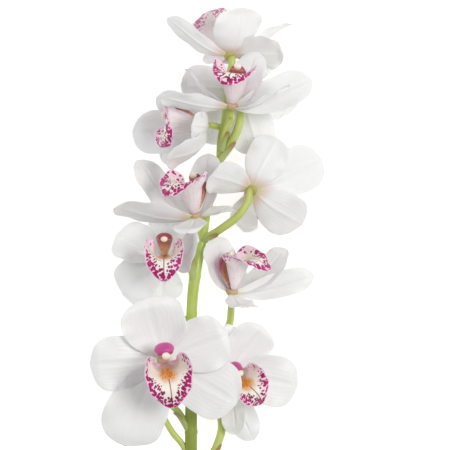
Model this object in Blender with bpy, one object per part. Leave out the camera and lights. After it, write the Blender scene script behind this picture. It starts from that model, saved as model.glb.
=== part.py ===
"""Cymbidium orchid stem, cut and laid down: ten blooms round one green stem.

X runs to the right of the flower stem, Y along the stem towards its top, Z up from the surface it lies on.
Places are given in units of UNIT, counted right, down and up from the surface, as a picture is measured.
"""
import math

import bmesh
import bpy
import numpy as np

# Driving dimensions
UNIT = 0.00075  # metres in one unit of the layout
MIDDLE_X = 207.96  # layout x of the frame's origin
MIDDLE_Y = 332.633  # layout y of the frame's origin
STEM_HEIGHT = 62.0  # height of the upper stem's axis above the surface, in units
GAP = 0.4  # room left between seated pieces, in units
TEPAL_THICK = 0.0009
LIP_THICK = 0.0011
KEEL_RISE = 0.0016  # height of the two ridges along the lip's throat
HUB_ACROSS = 6.0  # half width of the small disc where the tepals meet, in units
HUB_DEEP = 3.6
SEAT = HUB_DEEP + GAP
OPENING = 0.85  # how far a tepal leaves the hub at right angles to the bloom's axis
FOOT_OUT = 2.5  # a tepal starts this far out from the hub's centre, in units
FOOT_BACK = 0.8
HANDLE_FOOT = 0.33  # share of a tepal's length where its curve is drawn out from the hub
HANDLE_TIP = 0.7
PEDICEL_LEAD = 5.0  # a pedicel's last straight stretch, in units
TEPAL_ROWS = 5
TEPAL_COLS = 4
LIP_ROWS = 8
TUBE_SIDES = 8

for old in list(bpy.data.objects):
    bpy.data.objects.remove(old)


def spot(place):
    """World place of layout x, y and height above the upper stem's axis."""
    x, y, z = place
    return np.array(((x - MIDDLE_X) * UNIT, (MIDDLE_Y - y) * UNIT, (z + STEM_HEIGHT) * UNIT))


def unit(vector):
    """The vector at length one."""
    return vector / np.linalg.norm(vector)


def material(name, colour, roughness):
    """A plain plant surface."""
    made = bpy.data.materials.new(name)
    made.use_nodes = True
    shader = made.node_tree.nodes["Principled BSDF"]
    shader.inputs["Base Color"].default_value = (*colour, 1.0)
    shader.inputs["Roughness"].default_value = roughness
    shader.inputs["Metallic"].default_value = 0.0
    made.diffuse_color = (*colour, 1.0)
    return made


def body(name, points, faces, surface):
    """An object from points and faces, with its faces turned outwards."""
    mesh = bpy.data.meshes.new(name)
    mesh.from_pydata([tuple(p) for p in points], [], faces)
    work = bmesh.new()
    work.from_mesh(mesh)
    bmesh.ops.recalc_face_normals(work, faces=work.faces)
    work.to_mesh(mesh)
    work.free()
    mesh.materials.append(surface)
    made = bpy.data.objects.new(name, mesh)
    bpy.context.scene.collection.objects.link(made)
    return made


def fuse(name, pieces):
    """Joins overlapping closed pieces into one closed body."""
    first = pieces[0]
    group = bpy.data.collections.new(name + "_joined")
    for piece in pieces[1:]:
        group.objects.link(piece)
    join = first.modifiers.new("join", "BOOLEAN")
    join.operation = "UNION"
    join.operand_type = "COLLECTION"
    join.collection = group
    join.solver = "EXACT"
    seen = first.evaluated_get(bpy.context.evaluated_depsgraph_get())
    mesh = bpy.data.meshes.new_from_object(seen)
    surface = first.data.materials[0]
    for piece in pieces:
        bpy.data.objects.remove(piece)
    bpy.data.collections.remove(group)
    work = bmesh.new()
    work.from_mesh(mesh)
    bmesh.ops.remove_doubles(work, verts=work.verts, dist=0.00002)
    bmesh.ops.dissolve_degenerate(work, edges=work.edges, dist=0.00002)
    bmesh.ops.triangulate(work, faces=work.faces)
    work.to_mesh(mesh)
    work.free()
    mesh.materials.clear()
    mesh.materials.append(surface)
    for face in mesh.polygons:
        face.material_index = 0
    made = bpy.data.objects.new(name, mesh)
    mesh.name = name
    bpy.context.scene.collection.objects.link(made)
    return made


def smooth_path(points, count):
    """Points spaced along a smooth curve through the given ones."""
    points = np.array(points, dtype=float)
    ends = np.vstack((2 * points[0] - points[1], points, 2 * points[-1] - points[-2]))
    found = []
    for t in np.linspace(0, len(points) - 1, count):
        i = min(int(t), len(points) - 2)
        f = t - i
        a, b, c, d = ends[i : i + 4]
        found.append(
            0.5 * (2 * b + (c - a) * f + (2 * a - 5 * b + 4 * c - d) * f**2 + (3 * b - a - 3 * c + d) * f**3)
        )
    return np.array(found)


def sheet(name, grid, over, under, surface):
    """A closed blade from a grid of middle points, raised by over and lowered by under."""
    rows, cols = grid.shape[:2]
    down = np.gradient(grid, axis=0)
    across = np.gradient(grid, axis=1)
    normal = np.cross(down, across)
    normal /= np.linalg.norm(normal, axis=2, keepdims=True)
    top = (grid + normal * over[..., None]).reshape(-1, 3)
    bottom = (grid - normal * under[..., None]).reshape(-1, 3)
    points = np.vstack((top, bottom))
    below = rows * cols
    faces = []
    for i in range(rows - 1):
        for j in range(cols - 1):
            a = i * cols + j
            b = a + cols
            if j < (cols - 1) / 2:
                halves = ((a, b, b + 1), (a, b + 1, a + 1))
            else:
                halves = ((a, b, a + 1), (b, b + 1, a + 1))
            for half in halves:
                faces.append(half)
                faces.append(tuple(k + below for k in reversed(half)))
    left = [i * cols for i in range(rows)]
    right = [i * cols + cols - 1 for i in range(rows)]
    ring = left + list(range(left[-1] + 1, right[-1])) + right[::-1] + list(range(right[0] - 1, 0, -1))
    for a, b in zip(ring, ring[1:] + ring[:1]):
        faces.append((a, a + below, b))
        faces.append((b, a + below, b + below))
    return body(name, points, faces, surface)


TEPAL_OUTLINE = ((0, 0.16), (0.2, 0.54), (0.4, 0.87), (0.6, 1.0), (0.78, 0.96), (0.91, 0.7), (1, 0.22))


def tepal_grid(base, tip, face, width, arch, sway, roll, cup, rows, cols):
    """Middle points of one sepal or petal.

    arch lifts its middle towards the face, sway bends it sideways, roll turns it, cup lifts its edges.
    """
    run = tip - base
    length = np.linalg.norm(run)
    along = run / length
    flat = unit(face - along * np.dot(face, along))
    side = np.cross(along, flat)
    turn = math.radians(roll)
    flat = flat * math.cos(turn) + side * math.sin(turn)
    side = np.cross(along, flat)
    leave = run - face * np.dot(run, face) * OPENING
    one = base + unit(leave) * length * HANDLE_FOOT + flat * arch * length + side * sway * length
    two = base + run * HANDLE_TIP + flat * arch * length + side * sway * length
    grid = np.zeros((rows + 1, cols + 1, 3))
    stations = np.linspace(0, 1, rows + 1) ** 0.85
    spread = np.linspace(-1, 1, cols + 1)
    for i, t in enumerate(stations):
        centre = (1 - t) ** 3 * base + 3 * (1 - t) ** 2 * t * one + 3 * (1 - t) * t**2 * two + t**3 * tip
        ahead = unit((1 - t) ** 2 * (one - base) + 2 * (1 - t) * t * (two - one) + t**2 * (tip - two))
        lift = unit(flat - ahead * np.dot(flat, ahead))
        aside = np.cross(ahead, lift)
        half = width / 2 * np.interp(t, *zip(*TEPAL_OUTLINE))
        for j, a in enumerate(spread):
            rise = cup * half * (a * a - 0.35) * math.sin(math.pi * min(1, t * 1.1 + 0.1))
            grid[i, j] = centre + aside * half * a + lift * rise
    grid[..., 2] = np.maximum(grid[..., 2], TEPAL_THICK / 2)
    return grid


# Paths in a bloom: up from its axis, and forward from the hub's front face.
LIP_PATH = ((-4.6, 0), (-9, 12), (-13, 24), (-17, 35), (-24, 42), (-35, 42), (-47, 34))
LIP_HALF = (
    (0, 7), (0.15, 17), (0.3, 28), (0.42, 37), (0.52, 34), (0.62, 24), (0.74, 22), (0.86, 18), (0.95, 11), (1, 4)
)
LIP_BEND = ((0, 0.12), (0.15, 0.09), (0.3, 0.075), (0.42, 0.052), (0.52, 0.042), (0.62, 0.025), (0.74, 0.0), (1, -0.04))
LIP_SPREAD = (-1, -0.66, -0.34, -0.13, 0, 0.13, 0.34, 0.66, 1)


def lip_grid(hub, frame, size, rows, spread):
    """Middle points of the lip: side lobes round the column, then the front lobe bending down."""
    right, up, face = frame
    path = smooth_path(LIP_PATH, rows + 1) * size + (0, SEAT)
    slope = np.gradient(path, axis=0)
    grid = np.zeros((rows + 1, len(spread), 3))
    for i in range(rows + 1):
        s = i / rows
        ahead = unit(slope[i])
        inner = np.array((ahead[1], -ahead[0]))
        half = np.interp(s, *zip(*LIP_HALF)) * size
        bend = np.interp(s, *zip(*LIP_BEND)) / size
        wave = 0.9 * size * (-1) ** i * (s > 0.55)
        for j, a in enumerate(spread):
            arc = half * a
            if abs(bend) > 1e-4:
                out = math.sin(arc * bend) / bend
                rise = (1 - math.cos(arc * bend)) / bend
            else:
                out = arc
                rise = 0.0
            rise += wave * abs(a) ** 3
            lean = 5 * size * a * a * max(0.0, math.sin(math.pi * min(1, s / 0.6)))
            v = path[i, 0] + inner[0] * rise + ahead[0] * lean
            w = path[i, 1] + inner[1] * rise + ahead[1] * lean
            grid[i, j] = hub + (right * out + up * v + face * w) * UNIT
    return grid


def tube(name, path, radii, sides, surface, square=(1.0, 1.0), up=(0.0, 0.0, 1.0), turn=0.0):
    """A closed rod along a path, its section square[0] wide and square[1] high for each unit of radius."""
    path = np.array(path, dtype=float)
    points = []
    side = None
    for i, centre in enumerate(path):
        ahead = unit(path[min(i + 1, len(path) - 1)] - path[max(i - 1, 0)])
        side = np.cross(ahead, np.array(up)) if side is None else side - ahead * np.dot(side, ahead)
        side = unit(side)
        lift = np.cross(side, ahead)
        for k in range(sides):
            angle = 2 * math.pi * (k + turn) / sides
            reach = side * math.cos(angle) * square[0] + lift * math.sin(angle) * square[1]
            points.append(centre + reach * radii[i])
    faces = []
    for i in range(len(path) - 1):
        for k in range(sides):
            a = i * sides + k
            b = i * sides + (k + 1) % sides
            faces.append((a, b, b + sides))
            faces.append((a, b + sides, a + sides))
    last = (len(path) - 1) * sides
    for k in range(1, sides - 1):
        faces.append((0, k + 1, k))
        faces.append((last, last + k, last + k + 1))
    return body(name, points, faces, surface)


COLUMN_PATH = ((3, 0), (3.1, 2.4), (8.5, 11), (13, 21), (13, 31), (9, 38))
COLUMN_HALF = (2.6, 3.2, 5.4, 7.8, 9.2, 6.6)
CAP_PATH = ((8.72, 38.42), (7.4, 40.4), (5.6, 42.6), (4.6, 43.6))
CAP_HALF = (3.2, 4.2, 3.6, 1.8)


def frame_of(face, up):
    """The bloom's own right, up and facing directions."""
    face = unit(np.array(face, dtype=float))
    up = np.array(up, dtype=float)
    up = unit(up - face * np.dot(up, face))
    return np.cross(up, face), up, face


# Each bloom: name, hub place, facing, direction of the top sepal, lip size, then its five tepals as
# tip place, width, arch, sway, roll, cup.
BLOOMS = (
    ("bloom_01", (164, 358, 38), (0.1, -0.04, 1), (-0.13, 0.97, 0.1), 0.96, (
        ((148, 297, 52), 64, 0.06, 0.0, 0, 0.35),
        ((228, 333, 46), 56, 0.04, 0.0, 0, 0.12),
        ((92, 363, 48), 54, 0.05, 0.0, 0, -0.1),
        ((126, 445, 30), 62, 0.05, 0.06, 0, 0.2),
        ((237, 401, 38), 60, 0.0, 0.0, 0, -0.1),
    )),
    ("bloom_02", (229, 373, -16), (0.4, -0.1, 0.9), (-0.6, 0.75, 0.3), 0.78, (
        ((229, 325, -4), 30, 0.0, 0.0, 30, 0.2),
        ((264, 327, -12), 48, 0.0, 0.0, 0, 0.1),
        ((299, 387, -30), 52, 0.03, 0.0, 0, 0.2),
        ((254, 442, -28), 30, -0.08, 0.05, 20, 0.2),
        ((236, 434, 0), 30, -0.05, 0.0, 60, 0.3),
    )),
    ("bloom_03", (165, 259, 20), (0, 0.4, 0.9), (0, 0.95, -0.35), 0.8, (
        ((170, 203, -16), 40, 0.0, 0.0, 0, 0.1),
        ((116, 234, 4), 45, 0.03, 0.0, 0, 0.15),
        ((122, 294, 12), 50, 0.05, 0.0, 0, 0.2),
        ((162, 300, 8), 40, 0.0, 0.0, 0, 0.1),
        ((196, 242, 58), 44, -0.06, 0.0, 0, 0.1),
    )),
    ("bloom_04", (232, 292, 4), (0.1, 0.93, 0.3), (-0.8, 0.1, -0.5), 0.85, (
        ((217, 236, 0), 42, 0.0, 0.0, 0, 0.2),
        ((286, 248, -16), 40, -0.05, 0.0, 0, 0.1),
        ((314, 275, 0), 27, 0.0, 0.0, 60, 0.25),
        ((247, 304, 58), 30, -0.1, 0.0, 0, 0.2),
        ((228, 262, -50), 36, -0.05, 0.0, 0, 0.2),
    )),
    ("bloom_05", (196, 216, 18), (-0.15, 0.93, 0.3), (0.55, 0.2, -0.8), 0.9, (
        ((115, 207, 38), 46, 0.0, 0.0, 40, 0.2),
        ((138, 159, -6), 42, -0.05, 0.0, 0, 0.2),
        ((187, 230, 68), 34, -0.05, 0.0, 0, 0.2),
        ((231, 205, -4), 34, -0.05, 0.0, 0, 0.2),
        ((207, 153, -6), 35, -0.06, 0.0, 0, 0.25),
    )),
    ("bloom_06", (204, 124, -4), (-0.96, 0.14, 0.16), (0.05, 0.55, -0.8), 0.88, (
        ((156, 96, -26), 26, -0.06, 0.0, 30, 0.2),
        ((131, 131, -36), 48, -0.05, 0.0, 0, 0.25),
        ((166, 160, 40), 38, -0.16, 0.0, 0, 0.3),
        ((190, 126, 46), 28, -0.12, 0.0, 0, 0.2),
        ((158, 150, -64), 44, -0.05, 0.0, 0, 0.2),
    )),
    ("bloom_07", (232, 107, 22), (0.1, 0.92, 0.35), (0.2, 0.2, -0.9), 0.88, (
        ((186, 68, 14), 44, -0.05, 0.0, 30, 0.2),
        ((312, 79, 6), 36, 0.0, 0.0, 50, 0.2),
        ((288, 87, 58), 34, 0.0, 0.0, 0, 0.2),
        ((256, 52, 6), 34, -0.04, 0.0, 0, 0.1),
        ((162, 98, 44), 26, -0.03, 0.0, 60, 0.2),
    )),
    ("bloom_08", (229, 54, -10), (-0.35, 0.72, -0.55), (0.3, -0.5, -0.7), 0.8, (
        ((168, 17, -6), 22, -0.05, 0.0, 0, 0.2),
        ((292, 21, -14), 24, 0.0, 0.0, 20, 0.2),
        ((284, 54, -4), 50, 0.0, 0.0, 0, 0.2),
        ((240, 8, 14), 54, -0.12, 0.0, 0, 0.3),
        ((214, 48, -64), 36, -0.05, 0.0, 0, 0.2),
    )),
    ("bloom_09", (252, 190, 4), (0.3, 0.2, -0.93), (0.2, 0.95, 0.2), 0.8, (
        ((277, 138, -4), 42, -0.05, 0.0, 0, 0.2),
        ((322, 159, -14), 48, -0.05, 0.0, 0, 0.15),
        ((302, 224, -10), 48, -0.05, 0.0, 0, 0.15),
        ((209, 175, 34), 39, -0.01, 0.0, 0, 0.2),
        ((244, 229, -40), 30, -0.1, 0.0, 0, 0.2),
    )),
    ("bloom_10", (240, 88, -18), (0.05, 0.15, -0.98), (0.0, 0.98, 0.1), 0.8, (
        ((181, 84, -26), 44, -0.05, 0.0, 0, 0.15),
        ((298, 99, -72), 44, -0.05, 0.0, 0, 0.15),
        ((260, 153, -26), 46, -0.05, 0.0, 0, 0.15),
        ((266, 46, -60), 34, -0.05, 0.0, 0, 0.15),
        ((206, 140, -48), 36, -0.05, 0.0, 0, 0.15),
    )),
)

STEM_PATH = (
    (187, 660, -55.6), (187, 622, -55.6), (188, 570, -46), (190, 520, -26), (190.5, 480, -10), (191, 440, -2),
    (191, 400, 0), (191, 350, 0), (192, 305, 1), (195, 276, 1), (199, 256, 0), (203, 236, -3), (207, 210, -14),
    (215, 182, -18), (220, 160, -10), (221, 142, -4), (225, 118, -4), (227, 94, -6), (229, 76, -5),
)
STEM_HALF = (6.4, 6.4, 6.4, 6.3, 6.2, 6.1, 5.9, 5.7, 5.4, 5.6, 4.9, 4.6, 4.5, 4.3, 4.2, 4.1, 3.8, 3.4, 3.2)
PEDICELS = (
    ("bloom_01", ((190, 432, 0), (180, 414, 2), (170, 402, 12), (164, 384, 22)), 3.0),
    ("bloom_02", ((191, 492, -16), (205, 468, -15), (217, 446, -16), (222, 426, -24), (216, 402, -34), (219, 386, -32)), 3.5),
    ("bloom_03", ((191, 326, 0), (182, 316, -2), (174, 303, -6), (168, 288, -8), (164, 270, 4)), 2.6),
    ("bloom_04", ((191, 372, -2), (204, 356, -12), (220, 342, -23), (229, 326, -19), (231, 312, -9)), 3.4),
    ("bloom_05", ((194, 280, 2), (190, 262, 9), (190, 246, 12), (197, 230, 13)), 3.6),
    ("bloom_06", ((219, 160, -10), (226, 143, -12), (225, 130, -8)), 3.0),
    ("bloom_07", ((221, 150, -2), (225, 132, 8), (231, 119, 14)), 3.0),
    ("bloom_09", ((202, 241, -2), (211, 235, 6), (221, 229, 11), (237, 217, 14), (247, 203, 13)), 3.4),
    ("bloom_10", ((219, 160, -8), (228, 147, -4), (237, 131, -3), (241, 112, -5)), 3.6),
)
SPENT_PEDICEL = ((189, 462, -6), (183, 446, -4), (172, 432, -4), (164, 418, -4), (156, 404, -6))

petal_white = material("tepal_white", (0.86, 0.85, 0.82), 0.55)
lip_pink = material("lip_pink", (0.72, 0.22, 0.45), 0.5)
column_rose = material("column_rose", (0.55, 0.16, 0.24), 0.45)
cap_cream = material("cap_cream", (0.9, 0.85, 0.68), 0.4)
stem_green = material("stem_green", (0.3, 0.42, 0.09), 0.5)


def hub_point(name):
    """Where the pedicel of a bloom ends, just behind its hub, and a point further back."""
    for label, place, face, up, size, tepals in BLOOMS:
        if label == name:
            face = frame_of(face, up)[2]
            hub = spot(place)
            return hub - face * SEAT * UNIT, hub - face * (SEAT + PEDICEL_LEAD) * UNIT


def build_bloom(name, place, face, up, size, tepals):
    """The tepals, lip, column and anther cap of one bloom."""
    frame = frame_of(face, up)
    face = frame[2]
    hub = spot(place)
    disc_path = [hub + face * d * UNIT for d in (-HUB_DEEP, -HUB_DEEP * 0.4, HUB_DEEP * 0.5, HUB_DEEP)]
    disc_half = [HUB_ACROSS * UNIT * f for f in (0.6, 1.0, 1.0, 0.92)]
    pieces = [tube(name + "_hub", disc_path, disc_half, TUBE_SIDES, petal_white, up=frame[1])]
    for k, (tip, width, arch, sway, roll, cup) in enumerate(tepals):
        tip = spot(tip)
        out = tip - hub
        base = hub + unit(out - face * np.dot(out, face)) * FOOT_OUT * UNIT - face * FOOT_BACK * UNIT
        grid = tepal_grid(base, tip, face, width * UNIT, arch, sway, roll, cup, TEPAL_ROWS, TEPAL_COLS)
        half = np.full(grid.shape[:2], TEPAL_THICK / 2)
        pieces.append(sheet(f"{name}_tepal_{k}", grid, half, half, petal_white))
    fuse(name + "_tepals", pieces)

    grid = lip_grid(hub, frame, size, LIP_ROWS, LIP_SPREAD)
    half = np.full(grid.shape[:2], LIP_THICK / 2)
    over = half.copy()
    over[2:5, 3] += KEEL_RISE * size
    over[2:5, 5] += KEEL_RISE * size
    sheet(name + "_lip", grid, over, half, lip_pink)

    def raised(path):
        return [hub + (frame[1] * v * size + face * (w * size + SEAT)) * UNIT for v, w in path]

    column_half = [r * size * UNIT for r in COLUMN_HALF]
    tube(name + "_column", raised(COLUMN_PATH), column_half, TUBE_SIDES, column_rose, (1.1, 0.72), frame[1])
    cap_half = [r * size * UNIT for r in CAP_HALF]
    tube(name + "_anther_cap", raised(CAP_PATH), cap_half, 6, cap_cream, (1.0, 0.85), frame[1])


def build_stem():
    """The main stem with the pedicels that leave it, as one body. Its top is the last bloom's pedicel."""
    end, before = hub_point("bloom_08")
    path = [spot(p) for p in STEM_PATH] + [before, end]
    radii = [r * UNIT for r in STEM_HALF] + [3.4 * UNIT, 2.6 * UNIT]
    pieces = [tube("stem_axis", path, radii, 10, stem_green, turn=0.5)]
    for name, places, half in PEDICELS:
        end, before = hub_point(name)
        route = smooth_path([spot(p) for p in places] + [before], len(places) + 3)
        route = np.vstack((route, end))
        swell = np.linspace(0, 1, len(route))
        radii = [half * UNIT * (1 + 0.25 * math.sin(math.pi * s) - 0.2 * s) for s in swell]
        pieces.append(tube("pedicel_" + name, route, radii, 7, stem_green))
    route = smooth_path([spot(p) for p in SPENT_PEDICEL], 6)
    radii = [r * UNIT for r in (3.0, 3.0, 3.2, 3.0, 2.4, 1.2)]
    pieces.append(tube("pedicel_spent", route, radii, 7, stem_green))
    fuse("stem", pieces)


for bloom in BLOOMS:
    build_bloom(*bloom)
build_stem()
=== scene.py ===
import math

import bpy
import numpy as np
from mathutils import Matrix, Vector


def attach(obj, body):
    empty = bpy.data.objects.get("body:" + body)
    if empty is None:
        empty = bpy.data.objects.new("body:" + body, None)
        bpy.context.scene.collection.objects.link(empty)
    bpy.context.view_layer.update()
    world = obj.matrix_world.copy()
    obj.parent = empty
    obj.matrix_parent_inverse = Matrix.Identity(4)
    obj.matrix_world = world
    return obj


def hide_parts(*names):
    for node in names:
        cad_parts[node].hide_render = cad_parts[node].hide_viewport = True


# The dressed orchid stem: finer sepals, petals, lips, columns and stem on the places of the solids.

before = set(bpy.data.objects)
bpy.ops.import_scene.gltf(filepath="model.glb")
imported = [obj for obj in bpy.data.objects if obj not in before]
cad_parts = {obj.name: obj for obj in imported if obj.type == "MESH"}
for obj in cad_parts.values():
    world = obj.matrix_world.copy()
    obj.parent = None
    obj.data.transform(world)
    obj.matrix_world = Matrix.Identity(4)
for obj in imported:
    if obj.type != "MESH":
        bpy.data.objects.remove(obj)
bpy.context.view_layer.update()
chance = np.random.default_rng(11)

# Layout, in units: x to the right, y down the stem, and height above the upper stem's axis

UNIT = 0.00075  # metres in one unit
MIDDLE_X = 207.96  # the layout's x over the world's origin
MIDDLE_Y = 332.633  # the layout's y over the world's origin
STEM_HEIGHT = 62.0  # from the floor to the upper stem's axis
GAP = 0.4  # left between seated pieces
HUB_ACROSS = 6.0  # radius of the disc where the sepals and petals meet
HUB_DEEP = 3.6  # half of that disc's depth
SEAT = HUB_DEEP + GAP  # from the disc's middle to the pieces on its faces
FOOT_OUT = 2.5  # how far out from the disc's middle a tepal starts
FOOT_BACK = 0.8  # how far behind the disc's middle it starts
PEDICEL_LEAD = 5.0  # straight length of a pedicel before the disc

# Sepals and petals

TEPAL_THICK = 0.0008  # metres, at the middle
OPENING = 0.85  # share of its forward reach that a tepal's foot leaves out
HANDLE_FOOT = 0.33  # where along it the first bend is steered
HANDLE_TIP = 0.7  # where along it the second bend is steered
WAVE_HIGH = 0.0011  # metres, of the waves along the edges
GROOVE_DEEP = 0.0009  # metres, of the groove along the middle
TIP_DROP = 0.0016  # metres that the very tip bends back
UNEVEN = 0.025  # share by which one side is wider than the other
LEFT_WAVES = (9.0, 21)  # radians of the large and the small wave from foot to tip
RIGHT_WAVES = (8.0, 19)
SMALL_WAVE = 0.5  # the small wave's height as a share of the large one's
GROOVE_WIDE = 0.07  # share of the half width
CUP_LEVEL = 0.35  # where a cupped tepal keeps its middle's height
FULL_TURN = 6.28  # radians, for where a wave starts
TEPAL_THIN_ASIDE = ((0, 0.8, 1.0), (1.0, 0.75, 0.28))  # thickness from the middle to the edge
TEPAL_THIN_ALONG = ((0, 0.85, 1), (1, 0.85, 0.4))  # thickness from the foot to the tip

# Lip

LIP_THICK = 0.0009  # metres, at the middle
KEEL_RISE = 0.0015  # metres, of the two ridges in the throat
KEEL_ASIDE = 0.13  # where across the lip they stand
KEEL_WIDE = 0.06
FRILL_HIGH = 0.75  # units, along the sides
END_FRILL_HIGH = 0.9  # units, along the front rim
LOBE_LEAN = 5  # units that the side lobes lean forward
FRILL_WAVES = (52, 31)  # radians of the small and the large frill from foot to tip
LARGE_FRILL = 0.6  # the large frill's height as a share of the small one's
END_WAVES = 13  # radians of the frill across half of the front rim
FLAT_BEND = 1e-4  # the least bend, which counts as flat
LIP_THIN_ASIDE = ((0, 0.8, 1.0), (1.0, 0.7, 0.3))  # thickness from the middle to the edge
LIP_THIN_ALONG = ((0, 0.8, 1), (1, 0.8, 0.35))  # thickness from the foot to the tip

# Meshes

TEPAL_ROWS, TEPAL_COLS = ((44, 30))
LIP_ROWS, LIP_COLS = ((64, 52))
BRACT_ROWS, BRACT_COLS = ((26, 15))
STEM_ROWS = 220
PEDICEL_ROWS = 60
SPENT_ROWS = 40
LINE_ROWS = 200  # points on the line that a bract follows
FAR_FROM_EDGE = 0.01  # metres, stored where a piece has no outline


def spot(place):
    """World place of layout x, y and height above the upper stem's axis."""
    x, y, z = place
    return np.array(((x - MIDDLE_X) * UNIT, (MIDDLE_Y - y) * UNIT, (z + STEM_HEIGHT) * UNIT))


def unit(vector):
    """The vector at length one."""
    return vector / np.linalg.norm(vector)


def ramp(low, high, value):
    """0 below low, 1 above high, smooth between."""
    t = np.clip((value - low) / (high - low), 0, 1)
    return t * t * (3 - 2 * t)


def smooth_path(points, count):
    """Points spaced along a smooth curve through the given ones."""
    points = np.array(points, dtype=float)
    ends = np.vstack((2 * points[0] - points[1], points, 2 * points[-1] - points[-2]))
    t = np.linspace(0, len(points) - 1, count)
    i = np.minimum(t.astype(int), len(points) - 2)
    f = (t - i)[:, None]
    a, b, c, d = ends[i], ends[i + 1], ends[i + 2], ends[i + 3]
    return 0.5 * (2 * b + (c - a) * f + (2 * a - 5 * b + 4 * c - d) * f**2 + (3 * b - a - 3 * c + d) * f**3)


def along_table(table, values):
    """Reads a table of (place, value) pairs with a smooth curve through them."""
    table = np.array(table, dtype=float)
    fine = smooth_path(table, 400)
    order = np.maximum.accumulate(fine[:, 0])
    return np.interp(values, order, fine[:, 1])


class Skin:
    """Points, faces and the patterns' coordinates of one piece, gathered from its parts.

    place holds the share along a part, the share across or the turn round it, and its side or kind.
    skin holds metres along and across the part, and its tone. edge holds metres from the outline.
    """

    def __init__(self):
        self.points = []
        self.faces = []
        self.place = []
        self.skin = []
        self.edge = []
        self.count = 0

    def add(self, points, faces, place, skin, edge=None):
        """Takes in a part, whose faces are numbered from its own first point."""
        self.faces.append(np.array(faces) + self.count)
        self.points.append(points)
        self.place.append(place)
        self.skin.append(skin)
        self.edge.append(np.full(len(points), FAR_FROM_EDGE) if edge is None else edge)
        self.count += len(points)

    def build(self, name, surface, node):
        """Makes the piece. A face with its last corner twice is a triangle."""
        points = np.vstack(self.points)
        quads = np.vstack(self.faces)
        triangle = quads[:, 3] == quads[:, 2]
        keep = np.ones(quads.shape, dtype=bool)
        keep[triangle, 3] = False
        corners = quads[keep]
        sizes = np.where(triangle, 3, 4)
        mesh = bpy.data.meshes.new(name)
        mesh.vertices.add(len(points))
        mesh.vertices.foreach_set("co", points.ravel())
        mesh.loops.add(len(corners))
        mesh.loops.foreach_set("vertex_index", corners)
        mesh.polygons.add(len(quads))
        mesh.polygons.foreach_set("loop_start", np.concatenate(([0], np.cumsum(sizes)[:-1])))
        mesh.polygons.foreach_set("loop_total", sizes)
        mesh.update(calc_edges=True)
        mesh.validate()
        for label, values in (("place", np.vstack(self.place)), ("skin", np.vstack(self.skin))):
            layer = mesh.attributes.new(label, "FLOAT_VECTOR", "POINT")
            layer.data.foreach_set("vector", values.ravel())
        layer = mesh.attributes.new("edge", "FLOAT", "POINT")
        layer.data.foreach_set("value", np.concatenate(self.edge))
        mesh.shade_smooth()
        mesh.materials.append(surface)
        made = bpy.data.objects.new(name, mesh)
        bpy.context.scene.collection.objects.link(made)
        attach(made, "root")
        if node:
            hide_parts(node)


def run_along(path):
    """Metres along a path at each of its points."""
    return np.concatenate(([0], np.cumsum(np.linalg.norm(np.diff(path, axis=0), axis=1))))


def add_sheet(skin, grid, over, under, tone, inner_top=1.0):
    """A closed thin blade round a grid of middle points; inner_top is 1 where its upper side faces in."""
    rows, cols = grid.shape[:2]
    normal = np.cross(np.gradient(grid, axis=0), np.gradient(grid, axis=1))
    normal /= np.maximum(np.linalg.norm(normal, axis=2, keepdims=True), 1e-12)
    top = (grid + normal * over[..., None]).reshape(-1, 3)
    bottom = (grid - normal * under[..., None]).reshape(-1, 3)

    middle = cols // 2
    run = run_along(grid[:, middle])
    steps = np.linalg.norm(np.diff(grid, axis=1), axis=2)
    reach = np.concatenate((np.zeros((rows, 1)), np.cumsum(steps, axis=1)), axis=1)
    reach -= reach[:, middle : middle + 1]
    aside = np.minimum(np.abs(reach - reach[:, :1]), np.abs(reach - reach[:, -1:]))
    edge = np.minimum(aside, (run[-1] - run)[:, None]).ravel()

    s = np.repeat(np.linspace(0, 1, rows)[:, None], cols, axis=1)
    a = np.repeat(np.linspace(-1, 1, cols)[None, :], rows, axis=0)
    place_top = np.stack((s, a, np.full_like(s, inner_top)), axis=2).reshape(-1, 3)
    place_low = np.stack((s, a, np.full_like(s, 1 - inner_top)), axis=2).reshape(-1, 3)
    along = np.repeat(run[:, None], cols, axis=1)
    flat = np.stack((along, reach, np.full_like(s, tone)), axis=2).reshape(-1, 3)

    index = np.arange(rows * cols).reshape(rows, cols)
    corners = [part.ravel() for part in (index[:-1, :-1], index[1:, :-1], index[1:, 1:], index[:-1, 1:])]
    below = rows * cols
    faces = [np.stack(corners, axis=1), np.stack(corners[::-1], axis=1) + below]
    ring = np.concatenate((index[:, 0], index[-1, 1:-1], index[::-1, -1], index[0, -2:0:-1]))
    after = np.roll(ring, -1)
    faces.append(np.stack((ring, ring + below, after + below, after), axis=1))
    skin.add(
        np.vstack((top, bottom)),
        np.vstack(faces),
        np.vstack((place_top, place_low)),
        np.vstack((flat, flat)),
        np.concatenate((edge, edge)),
    )


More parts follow.
